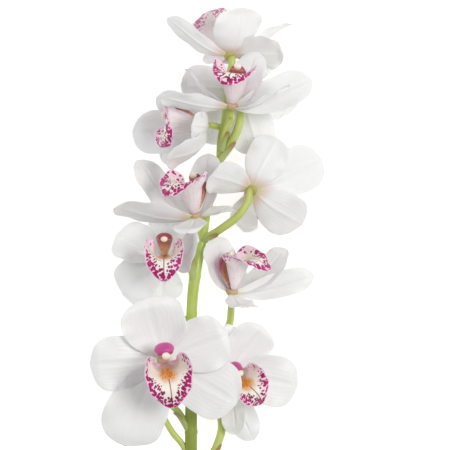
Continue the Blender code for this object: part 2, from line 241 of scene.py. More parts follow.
def add_tube(
    skin,
    path,
    radii,
    sides,
    square=(1.0, 1.0),
    up=(0.0, 0.0, 1.0),
    rib=0.0,
    ribs=6,
    kind=0.0,
    tone=0.0,
    hollow=0.0,
):
    """A closed rod along a path, square across and upwards, ribbed, and flatter below where hollow."""
    path = np.array(path, dtype=float)
    rows = len(path)
    ahead = np.gradient(path, axis=0)
    ahead /= np.linalg.norm(ahead, axis=1, keepdims=True)
    turn = np.linspace(0, 2 * math.pi, sides, endpoint=False)
    points = np.zeros((rows, sides, 3))
    side = None
    for i in range(rows):
        side = np.cross(ahead[i], np.array(up)) if side is None else side - ahead[i] * np.dot(side, ahead[i])
        side = unit(side)
        lift = np.cross(side, ahead[i])
        rise = radii[i] * (1 + rib * np.cos(ribs * turn))
        points[i] = (
            path[i]
            + np.outer(np.cos(turn) * square[0] * rise, side)
            + np.outer(np.sin(turn) * square[1] * rise * np.where(np.sin(turn) < 0, 1 - hollow, 1), lift)
        )

    s = np.repeat(np.linspace(0, 1, rows)[:, None], sides, axis=1)
    t = np.repeat((np.sin(turn))[None, :], rows, axis=0)
    place = np.stack((s, t, np.full_like(s, kind)), axis=2).reshape(-1, 3)
    place = np.vstack((place, place[0] * (1, 0, 1), place[-1] * (1, 0, 1)))
    round_at = np.repeat(np.cos(turn)[None, :], rows, axis=0) * np.array(radii)[:, None]
    along = np.repeat(run_along(path)[:, None], sides, axis=1)
    flat = np.stack((along, round_at, np.full_like(s, tone)), axis=2).reshape(-1, 3)
    flat = np.vstack((flat, flat[0], flat[-1]))

    index = np.arange(rows * sides).reshape(rows, sides)
    after = np.roll(index, -1, axis=1)
    wall = np.stack((index[:-1], after[:-1], after[1:], index[1:]), axis=2).reshape(-1, 4)
    first = rows * sides
    last = first + 1
    low = np.stack((np.full(sides, first), after[0], index[0], index[0]), axis=1)
    high = np.stack((np.full(sides, last), index[-1], after[-1], after[-1]), axis=1)
    points = np.vstack((points.reshape(-1, 3), path[0], path[-1]))
    skin.add(points, np.vstack((wall, low, high)), place, flat)


# Half width of a sepal or petal along it, as a share of its widest half
TEPAL_OUTLINE = (
    (0, 0.17), (0.2, 0.6), (0.4, 0.91), (0.6, 1.0), (0.78, 0.96), (0.91, 0.7), (0.975, 0.34), (1, 0.05),
)


def tepal_grid(base, tip, face, width, arch, sway, roll, cup):
    """Middle points of one sepal or petal, with uneven waves along its edges."""
    run = tip - base
    length = np.linalg.norm(run)
    along = run / length
    flat = unit(face - along * np.dot(face, along))
    side = np.cross(along, flat)
    turn = math.radians(roll)
    flat = flat * math.cos(turn) + side * math.sin(turn)
    side = np.cross(along, flat)
    leave = run - face * np.dot(run, face) * OPENING
    one = base + unit(leave) * length * HANDLE_FOOT + flat * arch * length + side * sway * length
    two = base + run * HANDLE_TIP + flat * arch * length + side * sway * length

    t = np.linspace(0, 1, TEPAL_ROWS + 1) ** 0.85
    a = np.linspace(-1, 1, TEPAL_COLS + 1)
    a = np.sin(a * math.pi / 2) * 0.35 + a * 0.65
    tt = t[:, None]
    centre = (1 - tt) ** 3 * base + 3 * (1 - tt) ** 2 * tt * one + 3 * (1 - tt) * tt**2 * two + tt**3 * tip
    ahead = (1 - tt) ** 2 * (one - base) + 2 * (1 - tt) * tt * (two - one) + tt**2 * (tip - two)
    ahead /= np.linalg.norm(ahead, axis=1, keepdims=True)
    lift = flat - ahead * (ahead @ flat)[:, None]
    lift /= np.linalg.norm(lift, axis=1, keepdims=True)
    aside = np.cross(ahead, lift)

    half = width / 2 * along_table(TEPAL_OUTLINE, t)
    shape = np.sin(math.pi * np.minimum(1, t * 1.1 + 0.1))
    rise = (cup * half * shape)[:, None] * (a * a - CUP_LEVEL)[None, :]
    phase = chance.uniform(0, FULL_TURN, 6)
    left = np.sin(t * LEFT_WAVES[0] + phase[0]) + SMALL_WAVE * np.sin(t * LEFT_WAVES[1] + phase[1])
    right = np.sin(t * RIGHT_WAVES[0] + phase[2]) + SMALL_WAVE * np.sin(t * RIGHT_WAVES[1] + phase[3])
    edge = ramp(0.25, 1.0, np.abs(a))[None, :] ** 1.6
    wave = np.where(a[None, :] < 0, left[:, None], right[:, None]) * edge
    rise = rise + wave * WAVE_HIGH * ramp(0.15, 0.5, t)[:, None]
    groove = GROOVE_DEEP * np.exp(-((a / GROOVE_WIDE) ** 2))[None, :] * ramp(0.02, 0.2, t)[:, None]
    rise = rise - groove * (1 - ramp(0.75, 1, t))[:, None]
    uneven = 1 + UNEVEN * np.sin(t * 7 + phase[4])[:, None] * np.sign(a)[None, :] * ramp(0.3, 0.8, t)[:, None]
    drop = TIP_DROP * ramp(0.86, 1.0, t)

    out = (half[:, None] * a[None, :]) * uneven
    grid = centre[:, None, :] + aside[:, None, :] * out[..., None]
    grid = grid + lift[:, None, :] * (rise - drop[:, None])[..., None]
    thin = np.interp(np.abs(a), *TEPAL_THIN_ASIDE)[None, :] * np.interp(t, *TEPAL_THIN_ALONG)[:, None]
    grid[..., 2] = np.maximum(grid[..., 2], TEPAL_THICK / 2)
    return grid, TEPAL_THICK / 2 * thin


# Paths in a bloom: up from its axis, and forward from the hub's front face. Widths are half widths in
# units along the path, and bends are how tightly the lip curls across, for each share of the path.
LIP_PATH = ((-4.6, 0), (-9, 12), (-13, 24), (-17, 35), (-24, 42), (-35, 42), (-47, 34))
LIP_HALF = (
    (0, 7), (0.15, 17), (0.3, 28), (0.42, 37), (0.52, 34), (0.62, 25), (0.74, 21.5), (0.86, 16.5), (0.95, 10),
    (1, 2),
)
LIP_BEND = (
    (0, 0.12), (0.15, 0.09), (0.3, 0.075), (0.42, 0.052), (0.52, 0.042), (0.62, 0.025), (0.74, 0.0),
    (1, -0.04),
)


def lip_grid(hub, axes, size):
    """Middle points of the lip: side lobes round the column, then the ruffled front lobe bending down."""
    right, up, face = axes
    path = smooth_path(LIP_PATH, LIP_ROWS + 1) * size + (0, SEAT)
    slope = np.gradient(path, axis=0)
    slope /= np.linalg.norm(slope, axis=1, keepdims=True)
    s = np.linspace(0, 1, LIP_ROWS + 1)
    a = np.linspace(-1, 1, LIP_COLS + 1)
    half = along_table(LIP_HALF, s) * size
    bend = along_table(LIP_BEND, s) / size
    bend = np.where(np.abs(bend) < FLAT_BEND, FLAT_BEND, bend)
    arc = half[:, None] * a[None, :]
    out = np.sin(arc * bend[:, None]) / bend[:, None]
    rise = (1 - np.cos(arc * bend[:, None])) / bend[:, None]

    phase = chance.uniform(0, FULL_TURN, 4)
    small = np.sin(s * FRILL_WAVES[0] + phase[0])[:, None]
    large = LARGE_FRILL * np.sin(s * FRILL_WAVES[1] + phase[1])[:, None]
    frill = small + large * np.sign(a)[None, :]
    frill = frill * (np.abs(a) ** 5)[None, :] * ramp(0.35, 0.7, s)[:, None]
    end = np.sin(a * END_WAVES + phase[2])[None, :] * ramp(0.88, 1.0, s)[:, None]
    rise = rise + (FRILL_HIGH * frill + END_FRILL_HIGH * end) * size
    forward = np.maximum(0.0, np.sin(math.pi * np.minimum(1, s / 0.6)))
    lean = LOBE_LEAN * size * a[None, :] ** 2 * forward[:, None]

    inner = np.stack((slope[:, 1], -slope[:, 0]), axis=1)
    v = path[:, :1] + inner[:, :1] * rise + slope[:, :1] * lean
    w = path[:, 1:] + inner[:, 1:] * rise + slope[:, 1:] * lean
    grid = hub + (out[..., None] * right + v[..., None] * up + w[..., None] * face) * UNIT
    thin = np.interp(np.abs(a), *LIP_THIN_ASIDE)[None, :] * np.interp(s, *LIP_THIN_ALONG)[:, None]
    under = LIP_THICK / 2 * thin
    grid[..., 2] = np.maximum(grid[..., 2], LIP_THICK / 2)
    keel = np.exp(-(((np.abs(a) - KEEL_ASIDE) / KEEL_WIDE) ** 2))[None, :]
    keel = keel * (ramp(0.12, 0.25, s) * (1 - ramp(0.42, 0.56, s)))[:, None]
    return grid, under + KEEL_RISE * size * keel, under


COLUMN_PATH = ((3, 0), (3.1, 2.4), (8.5, 11), (13, 21), (13, 31), (9, 38))
COLUMN_HALF = (2.6, 3.4, 6.4, 8.6, 9.3, 6.8)
NODE_HEIGHTS = (276, 326, 372, 432, 492, 560)  # where a ring runs round the stem
BROWN_COLUMNS = ("bloom_03", "bloom_05")  # the columns that are brown-red above
CAP_PATH = ((8.72, 38.42), (7.4, 40.4), (5.6, 42.6), (4.6, 43.6))
CAP_HALF = (3.2, 4.2, 3.6, 1.8)


def frame_of(face, up):
    """The bloom's own right, up and facing directions."""
    face = unit(np.array(face, dtype=float))
    up = np.array(up, dtype=float)
    up = unit(up - face * np.dot(up, face))
    return np.cross(up, face), up, face


# Each bloom: name, hub place, facing, direction of the top sepal, lip size, then its five tepals as
# tip place, width, arch, sway, roll, cup.
BLOOMS = (
    ("bloom_01", (164, 358, 38), (0.1, -0.04, 1), (-0.13, 0.97, 0.1), 0.96, (
        ((148, 297, 52), 64, 0.06, 0.0, 0, 0.35),
        ((228, 333, 46), 56, 0.04, 0.0, 0, 0.12),
        ((92, 363, 48), 54, 0.05, 0.0, 0, -0.1),
        ((126, 445, 30), 62, 0.05, 0.06, 0, 0.2),
        ((237, 401, 38), 60, 0.0, 0.0, 0, -0.1),
    )),
    ("bloom_02", (229, 373, -16), (0.4, -0.1, 0.9), (-0.6, 0.75, 0.3), 0.78, (
        ((229, 325, -4), 30, 0.0, 0.0, 30, 0.2),
        ((264, 327, -12), 48, 0.0, 0.0, 0, 0.1),
        ((299, 387, -30), 52, 0.03, 0.0, 0, 0.2),
        ((254, 442, -28), 30, -0.08, 0.05, 20, 0.2),
        ((236, 434, 0), 30, -0.05, 0.0, 60, 0.3),
    )),
    ("bloom_03", (165, 259, 20), (0, 0.4, 0.9), (0, 0.95, -0.35), 0.8, (
        ((170, 203, -16), 40, 0.0, 0.0, 0, 0.1),
        ((116, 234, 4), 45, 0.03, 0.0, 0, 0.15),
        ((122, 294, 12), 50, 0.05, 0.0, 0, 0.2),
        ((162, 300, 8), 40, 0.0, 0.0, 0, 0.1),
        ((196, 242, 58), 44, -0.06, 0.0, 0, 0.1),
    )),
    ("bloom_04", (232, 292, 4), (0.1, 0.93, 0.3), (-0.8, 0.1, -0.5), 0.85, (
        ((217, 236, 0), 42, 0.0, 0.0, 0, 0.2),
        ((286, 248, -16), 40, -0.05, 0.0, 0, 0.1),
        ((314, 275, 0), 27, 0.0, 0.0, 60, 0.25),
        ((247, 304, 58), 30, -0.1, 0.0, 0, 0.2),
        ((228, 262, -50), 36, -0.05, 0.0, 0, 0.2),
    )),
    ("bloom_05", (196, 216, 18), (-0.15, 0.93, 0.3), (0.55, 0.2, -0.8), 0.9, (
        ((115, 207, 38), 46, 0.0, 0.0, 40, 0.2),
        ((138, 159, -6), 42, -0.05, 0.0, 0, 0.2),
        ((187, 230, 68), 34, -0.05, 0.0, 0, 0.2),
        ((231, 205, -4), 34, -0.05, 0.0, 0, 0.2),
        ((207, 153, -6), 35, -0.06, 0.0, 0, 0.25),
    )),
    ("bloom_06", (204, 124, -4), (-0.96, 0.14, 0.16), (0.05, 0.55, -0.8), 0.88, (
        ((156, 96, -26), 26, -0.06, 0.0, 30, 0.2),
        ((131, 131, -36), 48, -0.05, 0.0, 0, 0.25),
        ((166, 160, 40), 38, -0.16, 0.0, 0, 0.3),
        ((190, 126, 46), 28, -0.12, 0.0, 0, 0.2),
        ((158, 150, -64), 44, -0.05, 0.0, 0, 0.2),
    )),
    ("bloom_07", (232, 107, 22), (0.1, 0.92, 0.35), (0.2, 0.2, -0.9), 0.88, (
        ((186, 68, 14), 44, -0.05, 0.0, 30, 0.2),
        ((312, 79, 6), 36, 0.0, 0.0, 50, 0.2),
        ((288, 87, 58), 34, 0.0, 0.0, 0, 0.2),
        ((256, 52, 6), 34, -0.04, 0.0, 0, 0.1),
        ((162, 98, 44), 26, -0.03, 0.0, 60, 0.2),
    )),
    ("bloom_08", (229, 54, -10), (-0.35, 0.72, -0.55), (0.3, -0.5, -0.7), 0.8, (
        ((168, 17, -6), 22, -0.05, 0.0, 0, 0.2),
        ((292, 21, -14), 24, 0.0, 0.0, 20, 0.2),
        ((284, 54, -4), 50, 0.0, 0.0, 0, 0.2),
        ((240, 8, 14), 54, -0.12, 0.0, 0, 0.3),
        ((214, 48, -64), 36, -0.05, 0.0, 0, 0.2),
    )),
    ("bloom_09", (252, 190, 4), (0.3, 0.2, -0.93), (0.2, 0.95, 0.2), 0.8, (
        ((277, 138, 1), 42, -0.05, 0.0, 0, 0.2),
        ((322, 159, -20), 48, -0.05, 0.0, 0, 0.15),
        ((302, 224, -10), 48, -0.05, 0.0, 0, 0.15),
        ((209, 175, 34), 39, -0.01, 0.0, 0, 0.2),
        ((244, 229, -40), 30, -0.1, 0.0, 0, 0.2),
    )),
    ("bloom_10", (240, 88, -18), (0.05, 0.15, -0.98), (0.0, 0.98, 0.1), 0.8, (
        ((181, 84, -26), 44, -0.05, 0.0, 0, 0.15),
        ((298, 99, -72), 44, -0.05, 0.0, 0, 0.15),
        ((260, 153, -26), 46, -0.05, 0.0, 0, 0.15),
        ((266, 46, -60), 34, -0.05, 0.0, 0, 0.15),
        ((206, 140, -48), 36, -0.05, 0.0, 0, 0.15),
    )),
)

STEM_PATH = (
    (187, 660, -55.6), (187, 622, -55.6), (188, 570, -46), (190, 520, -26), (190.5, 480, -10), (191, 440, -2),
    (191, 400, 0), (191, 350, 0), (192, 305, 1), (195, 276, 1), (199, 256, 0), (203, 236, -3),
    (207, 210, -14),
    (215, 182, -18), (220, 160, -10), (221, 142, -4), (225, 118, -4), (227, 94, -6), (229, 76, -5),
)
STEM_HALF = (6.4, 6.4, 6.4, 6.3, 6.2, 6.1, 5.9, 5.7, 5.4, 5.6, 4.9, 4.6, 4.5, 4.3, 4.2, 4.1, 3.8, 3.4, 3.2)
PEDICELS = (
    ("bloom_01", ((190, 432, 0), (180, 414, 2), (170, 402, 12), (164, 384, 22)), 3.0),
    ("bloom_02",
     ((191, 492, -16), (205, 468, -15), (217, 446, -16), (222, 426, -24), (216, 402, -34),
      (219, 386, -32)), 3.5),
    ("bloom_03", ((191, 326, 0), (182, 316, -2), (174, 303, -6), (168, 288, -8), (164, 270, 4)), 2.6),
    ("bloom_04", ((191, 372, -2), (204, 356, -12), (220, 342, -23), (229, 326, -19), (231, 312, -9)), 3.4),
    ("bloom_05", ((194, 280, 2), (190, 262, 9), (190, 246, 12), (197, 230, 13)), 3.6),
    ("bloom_06", ((219, 160, -10), (226, 143, -12), (225, 130, -8)), 3.0),
    ("bloom_07", ((221, 150, -2), (225, 132, 8), (231, 119, 14)), 3.0),
    ("bloom_09", ((202, 241, -2), (211, 235, 6), (221, 229, 11), (237, 217, 14), (247, 203, 13)), 3.4),
    ("bloom_10", ((219, 160, -8), (228, 147, -4), (237, 131, -3), (241, 112, -5)), 3.6),
)
SPENT_PEDICEL = ((189, 462, -6), (183, 446, -4), (172, 432, -4), (164, 418, -4), (156, 404, -6))

# Node helpers


class Tree:
    """Short names for making and joining shader nodes."""

    def __init__(self, tree):
        self.tree = tree

    def node(self, kind, **settings):
        """A new node with its settings."""
        made = self.tree.nodes.new(kind)
        for key, value in settings.items():
            setattr(made, key, value)
        return made

    def put(self, socket, value):
        """Joins a socket to an input, or sets the input to a plain value."""
        if isinstance(value, bpy.types.NodeSocket):
            self.tree.links.new(value, socket)
        else:
            socket.default_value = value

    def math(self, operation, a, b=0.0, c=0.0, clamp=False):
        """One sum on values."""
        made = self.node("ShaderNodeMath", operation=operation, use_clamp=clamp)
        for socket, value in zip(made.inputs, (a, b, c)):
            self.put(socket, value)
        return made.outputs[0]

    def product(self, first, *others):
        """The values multiplied together."""
        for value in others:
            first = self.math("MULTIPLY", first, value)
        return first

    def band(self, value, low, high, start=0.0, stop=1.0):
        """Goes smoothly from start to stop while the value goes from low to high."""
        made = self.node("ShaderNodeMapRange", interpolation_type="SMOOTHSTEP")
        for socket, given in zip(made.inputs[:5], (value, low, high, start, stop)):
            self.put(socket, given)
        return made.outputs[0]

    def mix(self, amount, a, b):
        """Colour a turning into colour b."""
        made = self.node("ShaderNodeMix", data_type="RGBA")
        self.put(made.inputs[0], amount)
        for socket, value in zip(made.inputs[6:8], (a, b)):
            self.put(socket, (*value, 1.0) if isinstance(value, tuple) else value)
        return made.outputs[2]

    def noise(self, vector, scale, detail=2.0, rough=0.5):
        """An uneven value from 0 to 1."""
        made = self.node("ShaderNodeTexNoise")
        for name, value in (("Vector", vector), ("Scale", scale), ("Detail", detail), ("Roughness", rough)):
            self.put(made.inputs[name], value)
        return made.outputs["Fac"]

    def joined(self, x, y, z):
        """A vector of three values."""
        made = self.node("ShaderNodeCombineXYZ")
        for socket, value in zip(made.inputs, (x, y, z)):
            self.put(socket, value)
        return made.outputs[0]

    def split(self, vector):
        """The three parts of a vector or colour."""
        made = self.node("ShaderNodeSeparateXYZ")
        self.put(made.inputs[0], vector)
        return made.outputs

    def read(self, name):
        """A vector stored on the piece's points."""
        return self.node("ShaderNodeAttribute", attribute_name=name).outputs["Vector"]

    def rim(self):
        """Metres from the outline."""
        return self.node("ShaderNodeAttribute", attribute_name="edge").outputs["Fac"]

    def use(self, group, **values):
        """Places a node group with its inputs set, and gives its outputs."""
        made = self.node("ShaderNodeGroup", node_tree=group)
        for name, value in values.items():
            self.put(made.inputs[name], value)
        return made.outputs


def new_group(name, vectors, values, results):
    """An empty node group, its tree, its inputs and its outputs."""
    group = bpy.data.node_groups.new(name, "ShaderNodeTree")
    for label in vectors:
        group.interface.new_socket(label, in_out="INPUT", socket_type="NodeSocketVector")
    for label in values:
        group.interface.new_socket(label, in_out="INPUT", socket_type="NodeSocketFloat")
    for label in results:
        group.interface.new_socket(label, in_out="OUTPUT", socket_type="NodeSocketFloat")
    t = Tree(group)
    return group, t, t.node("NodeGroupInput").outputs, t.node("NodeGroupOutput").inputs


def surface(name, colour, rough=0.5):
    """A new material, its tree and its shader."""
    made = bpy.data.materials.new(name)
    made.use_nodes = True
    made.diffuse_color = (*colour, 1.0)
    shader = made.node_tree.nodes["Principled BSDF"]
    shader.inputs["Roughness"].default_value = rough
    return made, Tree(made.node_tree), shader


def bumped(t, shader, height, strength, distance):
    """Feeds a height to the shader's normal."""
    made = t.node("ShaderNodeBump")
    made.inputs["Strength"].default_value = strength
    made.inputs["Distance"].default_value = distance
    t.put(made.inputs["Height"], height)
    t.put(shader.inputs["Normal"], made.outputs[0])


def let_light_in(shader, weight, depth, spread=(1.0, 0.2, 0.1)):
    """Soft light under the skin, to a depth in metres and further in red than in blue."""
    shader.inputs["Subsurface Weight"].default_value = weight
    shader.inputs["Subsurface Radius"].default_value = spread
    shader.inputs["Subsurface Scale"].default_value = depth


# Effects that several surfaces use


def grain_group():
    """Uneven grain of any fineness, from broad clouds to fine skin."""
    group, t, inside, leave = new_group("skin_grain", ("Place",), ("Scale", "Detail"), ("Grain",))
    t.put(leave["Grain"], t.noise(inside["Place"], inside["Scale"], inside["Detail"]))
    return group


def dot_group():
    """Small round dots that begin and are full at given distances from their middles."""
    group, t, inside, leave = new_group("small_dots", ("Place",), ("Scale", "Begin", "Full"), ("Dot",))
    cells = t.node("ShaderNodeTexVoronoi")
    t.put(cells.inputs["Vector"], inside["Place"])
    t.put(cells.inputs["Scale"], inside["Scale"])
    t.put(leave["Dot"], t.band(cells.outputs["Distance"], inside["Begin"], inside["Full"]))
    return group


def vein_group():
    """Fine veins that run along a petal: how much of a vein, and the height for a bump."""
    group, t, inside, leave = new_group(
        "petal_veins", (), ("Along", "Across", "Count", "Tone"), ("Vein", "Height")
    )
    where = t.joined(
        t.product(inside["Along"], 3.0), t.product(inside["Across"], 4.0), t.product(inside["Tone"], 7.0)
    )
    wander = t.math("SUBTRACT", t.noise(where, 1.6, 3.0), 0.5)
    turn = t.math("ADD", t.product(inside["Across"], inside["Count"]), t.product(wander, 1.5))
    fold = t.math("PINGPONG", turn, 0.5)
    vein = t.band(fold, 0.0, 0.13, 1.0, 0.0)
    soft = t.band(fold, 0.0, 0.5, 1.0, 0.0)
    t.put(leave["Vein"], vein)
    t.put(leave["Height"], t.math("ADD", t.product(vein, 0.35), soft))
    return group


GRAIN = grain_group()
DOTS = dot_group()
VEINS = vein_group()


def grain(t, place, scale, detail=2.0):
    """Grain at a place on the skin."""
    return t.use(GRAIN, Place=place, Scale=scale, Detail=detail)["Grain"]


# Petals

PETAL_LIT = (0.87, 0.875, 0.87)
PETAL_CLOUD = (0.83, 0.84, 0.84)
PETAL_VEIN = (0.74, 0.755, 0.73)
PETAL_BLUSH = (0.74, 0.52, 0.45)
PETAL_FOOT = (0.66, 0.68, 0.3)
PETAL_RIM = (0.9, 0.905, 0.9)
HUB_GREEN = (0.5, 0.42, 0.16)
HUB_FLUSH = (0.62, 0.4, 0.32)


def petal_surface():
    """Cool white petals with faint veins, a green and pink tinge at the base and soft light through them."""
    made, t, shader = surface("petal_white", (0.9, 0.9, 0.88), 0.42)
    s, a, inner = t.split(t.read("place"))
    skin = t.read("skin")
    veins = t.use(VEINS, Along=s, Across=a, Count=7.0, Tone=t.split(skin)[2])
    vein = t.product(veins["Vein"], t.band(s, 0.95, 0.2))
    white = t.mix(grain(t, skin, 70.0, 3.0), PETAL_LIT, PETAL_CLOUD)
    white = t.mix(t.product(vein, 0.2), white, PETAL_VEIN)
    back = t.math("SUBTRACT", 1.0, inner, clamp=True)
    white = t.mix(t.product(t.band(s, 0.24, 0.03, 0.0, 0.8), back), white, PETAL_BLUSH)
    foot = t.product(t.band(s, 0.12, 0.0), t.math("ADD", 0.35, t.product(back, 0.45)))
    white = t.mix(foot, white, PETAL_FOOT)
    white = t.mix(t.band(t.rim(), 0.0016, 0.0002, 0.0, 0.35), white, PETAL_RIM)
    hub = t.mix(t.band(s, 0.55, 0.9), HUB_GREEN, HUB_FLUSH)
    t.put(shader.inputs["Base Color"], t.mix(t.band(inner, 1.2, 1.8), white, hub))
    let_light_in(shader, 0.2, 0.0014, (1.0, 0.95, 0.9))
    shader.inputs["Specular IOR Level"].default_value = 0.35
    shader.inputs["Sheen Weight"].default_value = 0.06
    height = t.math("ADD", veins["Height"], t.product(grain(t, skin, 900.0), 0.35))
    bumped(t, shader, height, 0.16, 0.0005)
    return made


# Lip

BLOTCH_MAGENTA = (0.5, 0.006, 0.18)
BLOTCH_PLUM = (0.22, 0.002, 0.07)
BLOTCH_BEHIND = (0.5, 0.03, 0.24)
THROAT_CREAM = (0.92, 0.86, 0.78)
# painted shade: the brown deep inside the lip's tube, under the column
THROAT_PAINTED_SHADE = (0.42, 0.16, 0.12)
RIM_PINK = (0.9, 0.66, 0.8)
RIDGE_ORANGE = (0.85, 0.36, 0.03)
RIDGE_DOT = (0.3, 0.03, 0.01)
MIDLINE_PLUM = (0.16, 0.005, 0.04)
LIP_BACK_CREAM = (0.9, 0.84, 0.83)
LIP_BACK_PINK = (0.86, 0.72, 0.8)
LIP_BACK_VEIN = (0.78, 0.5, 0.58)
LIP_BACK_FOOT = (0.72, 0.45, 0.4)
FRONT_LOBE = 0.45  # share of the lip's length where the blotches' rows start from
LIP_LENGTH = 0.054  # metres


def spot_group():
    """Blotches set in rows that point at the rim: how much of a blotch, and how dark it is."""
    group, t, inside, leave = new_group(
        "lip_blotches", (), ("Along", "Reach", "Edge", "Tone"), ("Blotch", "Depth")
    )
    s, reach, edge = inside["Along"], inside["Reach"], inside["Edge"]
    ahead = t.product(t.math("SUBTRACT", s, FRONT_LOBE), LIP_LENGTH)
    angle = t.math("ARCTAN2", reach, ahead)
    far = t.math("SQRT", t.math("ADD", t.product(ahead, ahead), t.product(reach, reach)))
    where = t.joined(t.product(angle, 9.5), t.product(far, 370.0), t.product(inside["Tone"], 37.0))
    shake = t.node("ShaderNodeTexNoise")
    t.put(shake.inputs["Vector"], where)
    shake.inputs["Scale"].default_value = 0.8
    shift = t.node("ShaderNodeVectorMath", operation="SCALE")
    t.put(shift.inputs[0], shake.outputs["Color"])
    shift.inputs["Scale"].default_value = 0.9
    moved = t.node("ShaderNodeVectorMath", operation="ADD")
    t.put(moved.inputs[0], where)
    t.put(moved.inputs[1], shift.outputs[0])
    cells = t.node("ShaderNodeTexVoronoi")
    t.put(cells.inputs["Vector"], moved.outputs[0])
    cells.inputs["Scale"].default_value = 1.0
    cells.inputs["Randomness"].default_value = 0.9
    pick = t.split(cells.outputs["Color"])
    front = t.band(s, 0.46, 0.6)
    near = t.product(t.band(edge, 0.0135, 0.008), front)
    lobes = t.product(t.band(edge, 0.0115, 0.004, 0.0, 0.72), t.band(s, 0.6, 0.46), t.band(s, 0.26, 0.4))
    dense = t.math("MAXIMUM", near, lobes)
    keep = t.band(t.math("SUBTRACT", t.product(dense, 1.35), pick[0]), -0.05, 0.05)
    size = t.math("ADD", 0.26, t.product(dense, 0.22))
    size = t.math("ADD", size, t.product(t.band(edge, 0.0095, 0.0035), t.product(front, 0.16)))
    blotch = t.band(t.math("SUBTRACT", size, cells.outputs["Distance"]), -0.03, 0.05)
    t.put(leave["Blotch"], t.product(blotch, keep, t.band(edge, 0.0003, 0.0012)))
    t.put(leave["Depth"], t.math("ADD", t.band(edge, 0.003, 0.009, 0.0, 0.75), t.product(pick[1], 0.45)))
    return group


SPOTS = spot_group()


def lip_inside(t, s, far, reach, edge, skin, spots):
    """Colour of the lip's inner face: cream throat with painted shade deep inside the tube, orange ridges, a
    dark midline and blotches.
    """
    cream = t.mix(t.band(edge, 0.012, 0.0005), THROAT_CREAM, RIM_PINK)
    throat = t.product(t.band(far, 0.34, 0.14), t.product(t.band(s, 0.1, 0.24), t.band(s, 0.66, 0.44)))
    # painted shade: the throat darkens to brown deep inside the tube, under the column
    throat_painted_shade = t.product(t.band(s, 0.4, 0.16, 0.0, 0.6), t.band(far, 0.7, 0.3))
    inside = t.mix(throat_painted_shade, cream, THROAT_PAINTED_SHADE)
    inside = t.mix(t.product(throat, 0.95), inside, RIDGE_ORANGE)
    dots = t.product(t.use(DOTS, Place=skin, Scale=800.0, Begin=0.38, Full=0.28)["Dot"], throat)
    inside = t.mix(t.product(dots, 0.85), inside, RIDGE_DOT)
    dark = t.mix(spots["Depth"], BLOTCH_MAGENTA, BLOTCH_PLUM)
    inside = t.mix(spots["Blotch"], inside, dark)
    line = t.product(t.band(s, 0.48, 0.55), t.band(s, 0.985, 0.93))
    line = t.product(t.band(t.math("ABSOLUTE", reach), 0.0006, 0.0002), line)
    return t.mix(t.product(line, 0.85), inside, MIDLINE_PLUM)


def lip_outside(t, s, far, veins, spots):
    """Colour of the lip's outer face: pale pink with veins, where the blotches show through."""
    outside = t.mix(t.band(far, 0.1, 0.95), LIP_BACK_CREAM, LIP_BACK_PINK)
    outside = t.mix(t.product(veins["Vein"], 0.28), outside, LIP_BACK_VEIN)
    outside = t.mix(t.band(s, 0.14, 0.0, 0.0, 0.4), outside, LIP_BACK_FOOT)
    return t.mix(t.product(spots["Blotch"], 0.8), outside, BLOTCH_BEHIND)


def lip_surface():
    """The lip: cream throat, orange ridges, magenta blotches along the rim, pale pink outside."""
    made, t, shader = surface("lip_spotted", (0.8, 0.4, 0.55), 0.4)
    s, a, inner = t.split(t.read("place"))
    skin = t.read("skin")
    reach, tone = t.split(skin)[1:3]
    edge = t.rim()
    far = t.math("ABSOLUTE", a)
    spots = t.use(SPOTS, Along=s, Reach=reach, Edge=edge, Tone=tone)
    veins = t.use(VEINS, Along=s, Across=a, Count=6.0, Tone=tone)
    inside = lip_inside(t, s, far, reach, edge, skin, spots)
    t.put(shader.inputs["Base Color"], t.mix(inner, lip_outside(t, s, far, veins, spots), inside))
    let_light_in(shader, 0.15, 0.0008, (1.0, 0.7, 0.7))
    shader.inputs["Specular IOR Level"].default_value = 0.4
    height = t.math("ADD", veins["Height"], t.product(grain(t, skin, 1100.0), 0.6))
    height = t.math("ADD", height, t.product(spots["Blotch"], 0.4))
    bumped(t, shader, height, 0.3, 0.0004)
    return made


# Column and anther cap

COLUMN_PINK = (0.82, 0.55, 0.62)
COLUMN_ROSE = (0.56, 0.07, 0.28)
COLUMN_BROWN = (0.36, 0.06, 0.07)
COLUMN_RIM = (0.34, 0.03, 0.09)
COLUMN_MARK = (0.3, 0.02, 0.06)
UNDER_CREAM = (0.82, 0.55, 0.3)
UNDER_BROWN = (0.42, 0.15, 0.11)
UNDER_END = (0.7, 0.3, 0.3)
UNDER_STRIPE = (0.55, 0.24, 0.14)
CAP_CREAM = (0.95, 0.9, 0.78)
CAP_FLUSH = (0.9, 0.75, 0.66)


def column_surface():
    """The column: rosy above, cream below with brown-red marks."""
    made, t, shader = surface("column_rose", (0.6, 0.15, 0.25), 0.35)
    place = t.split(t.read("place"))
    s, turn = place[0], place[1]
    skin = t.read("skin")
    top = t.mix(t.band(s, 0.15, 0.85), COLUMN_PINK, COLUMN_ROSE)
    top = t.mix(t.band(t.split(skin)[2], 0.6, 0.9), top, COLUMN_BROWN)
    under = t.mix(t.band(s, 0.25, 0.7), UNDER_CREAM, UNDER_BROWN)
    under = t.mix(t.band(s, 0.93, 1.0), under, UNDER_END)
    stripe = t.band(grain(t, skin, 520.0, 1.0), 0.45, 0.6)
    under = t.mix(t.product(stripe, 0.5), under, UNDER_STRIPE)
    colour = t.mix(t.band(turn, -0.3, 0.1), under, top)
    from_rim = t.math("ABSOLUTE", t.math("ADD", turn, 0.12))
    rim = t.product(t.band(from_rim, 0.3, 0.12), t.band(s, 0.3, 0.6))
    colour = t.mix(t.product(rim, 0.7), colour, COLUMN_RIM)
    dots = t.use(DOTS, Place=skin, Scale=900.0, Begin=0.36, Full=0.22)["Dot"]
    colour = t.mix(t.product(dots, t.band(turn, 0.4, -0.2, 0.05, 0.6)), colour, COLUMN_MARK)
    t.put(shader.inputs["Base Color"], colour)
    let_light_in(shader, 0.15, 0.001)
    bumped(t, shader, grain(t, skin, 700.0, 3.0), 0.25, 0.0004)
    return made


